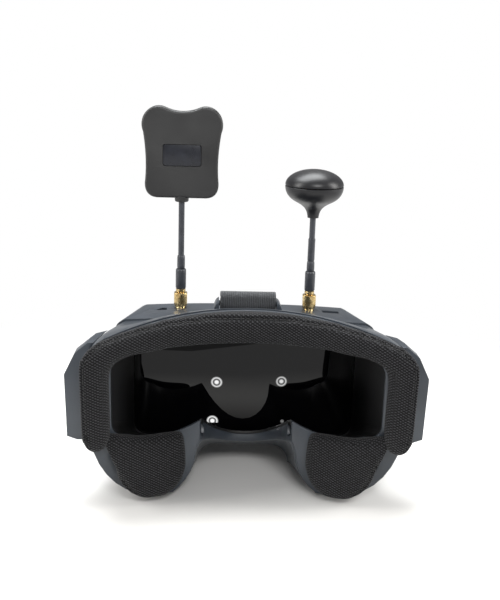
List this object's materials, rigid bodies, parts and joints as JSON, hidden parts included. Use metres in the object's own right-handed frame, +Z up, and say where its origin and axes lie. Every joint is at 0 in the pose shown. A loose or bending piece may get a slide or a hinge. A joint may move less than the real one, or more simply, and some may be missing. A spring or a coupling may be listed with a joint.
{
  "type": "fpv goggles",
  "caption": "Box-type FPV video goggles with fabric face cushions, a wide flat lens, a detachable display module, a flat patch antenna and a mushroom antenna.",
  "frame": {"origin": "middle of the bounding box's footprint, on the table it rests on", "axes": "+X to the wearer's right, +Y ahead of the wearer, +Z up"},
  "size_m": [0.203, 0.1336, 0.2158],
  "materials": {
    "shell": "semi-matte moulded grey-black plastic",
    "liner": "matte black liner plastic",
    "lens": "clear acrylic, mirror-like from the wearer's side",
    "fabric": "charcoal mesh knit over foam",
    "webbing": "ribbed elastic webbing",
    "steel": "plated steel",
    "screen": "dark display glass",
    "board": "solder-masked circuit board",
    "foil": "foil-wrapped cell",
    "jack": "black connector body",
    "brass": "gold-plated brass",
    "sleeve": "heat-shrink sleeve over coax",
    "patch_plastic": "fine-textured matte plastic",
    "label": "smooth blank label plate",
    "gloss_plastic": "satin black plastic",
    "copper": "soldered copper wire",
    "key_rubber": "moulded rubber key"
  },
  "bodies": {
    "goggles": {"rear_shell": "shell", "eye_shroud": "liner", "lens_frame": "liner", "fresnel_lens": "lens", "face_frame": "shell", "brow_cushion": "fabric", "cheek_pad_right": "fabric", "cheek_pad_left": "fabric", "strap_anchor_right": "shell", "strap_anchor_left": "shell", "strap_bracket": "shell"},
    "strap": {"top_strap": "webbing"},
    "module": {"module_housing": "shell", "front_cover": "shell", "cover_screw_1": "steel", "cover_screw_2": "steel", "cover_screw_3": "steel", "cover_screw_4": "steel", "module_hood": "liner", "display_bezel": "steel", "display_panel": "screen", "main_board": "board", "receiver_left": "steel", "receiver_right": "steel", "battery": "foil", "key_board": "board", "av_jack": "jack", "power_jack": "jack", "card_slot": "steel", "patch_socket": "brass", "mushroom_socket": "brass"},
    "patch_antenna": {"patch_ferrule": "brass", "patch_boot": "sleeve", "patch_shrink_sleeve": "sleeve", "patch_coax_stem": "sleeve", "patch_back_shell": "patch_plastic", "patch_front_shell": "patch_plastic", "patch_label_plate": "label", "patch_element": "board"},
    "patch_nut": {"patch_coupling_nut": "brass"},
    "mushroom_antenna": {"mushroom_ferrule": "brass", "mushroom_boot": "sleeve", "mushroom_shrink_sleeve": "sleeve", "mushroom_upper_sleeve": "sleeve", "mushroom_coax_stem": "sleeve", "mushroom_cone": "gloss_plastic", "mushroom_cap": "gloss_plastic", "mushroom_radiator": "copper"},
    "mushroom_nut": {"mushroom_coupling_nut": "brass"},
    "search_key": {"search_key": "key_rubber"},
    "band_key": {"band_key": "key_rubber"},
    "channel_key": {"channel_key": "key_rubber"},
    "record_key": {"record_key": "key_rubber"},
    "menu_key": {"menu_key": "key_rubber"},
    "power_switch": {"power_switch": "key_rubber"},
    "latch_left": {"latch_tab_left": "liner"},
    "latch_right": {"latch_tab_right": "liner"}
  },
  "joints": [
    {"name": "module_slide", "type": "slide", "parent": "goggles", "child": "module", "axis": [0, 1, 0], "range_m": [0, 0.06]},
    {"name": "strap_swing", "type": "hinge", "parent": "goggles", "child": "strap", "pos_m": [0, -0.00623, 0.1072], "axis": [1, 0, 0], "range_deg": [0, 60]},
    {"name": "patch_turn", "type": "hinge", "parent": "module", "child": "patch_antenna", "pos_m": [-0.04, 0.03277, 0.094], "axis": [0, 0, 1], "range_deg": [-60, 170]},
    {"name": "patch_nut_spin", "type": "hinge", "parent": "patch_antenna", "child": "patch_nut", "pos_m": [-0.04, 0.03277, 0.094], "axis": [0, 0, 1], "continuous": true},
    {"name": "mushroom_turn", "type": "hinge", "parent": "module", "child": "mushroom_antenna", "pos_m": [0.04, 0.03277, 0.094], "axis": [0, 0, 1], "continuous": true},
    {"name": "mushroom_nut_spin", "type": "hinge", "parent": "mushroom_antenna", "child": "mushroom_nut", "pos_m": [0.04, 0.03277, 0.094], "axis": [0, 0, 1], "continuous": true},
    {"name": "search_press", "type": "slide", "parent": "module", "child": "search_key", "axis": [-1, 0, 0], "range_m": [0, 0.0006], "stiffness_N_per_m": 2000, "springref_m": -0.0003},
    {"name": "band_press", "type": "slide", "parent": "module", "child": "band_key", "axis": [-1, 0, 0], "range_m": [0, 0.0006], "stiffness_N_per_m": 2000, "springref_m": -0.0003},
    {"name": "channel_press", "type": "slide", "parent": "module", "child": "channel_key", "axis": [-1, 0, 0], "range_m": [0, 0.0006], "stiffness_N_per_m": 2000, "springref_m": -0.0003},
    {"name": "record_press", "type": "slide", "parent": "module", "child": "record_key", "axis": [-1, 0, 0], "range_m": [0, 0.0006], "stiffness_N_per_m": 2000, "springref_m": -0.0003},
    {"name": "menu_press", "type": "slide", "parent": "module", "child": "menu_key", "axis": [-1, 0, 0], "range_m": [0, 0.0006], "stiffness_N_per_m": 2000, "springref_m": -0.0003},
    {"name": "power_slide", "type": "slide", "parent": "module", "child": "power_switch", "axis": [0, 1, 0], "range_m": [0, 0.003]},
    {"name": "latch_left_press", "type": "slide", "parent": "module", "child": "latch_left", "axis": [0, 0, -1], "range_m": [0, 0.0012], "stiffness_N_per_m": 2000, "springref_m": -0.0003},
    {"name": "latch_right_press", "type": "slide", "parent": "module", "child": "latch_right", "axis": [0, 0, -1], "range_m": [0, 0.0012], "stiffness_N_per_m": 2000, "springref_m": -0.0003}
  ]
}
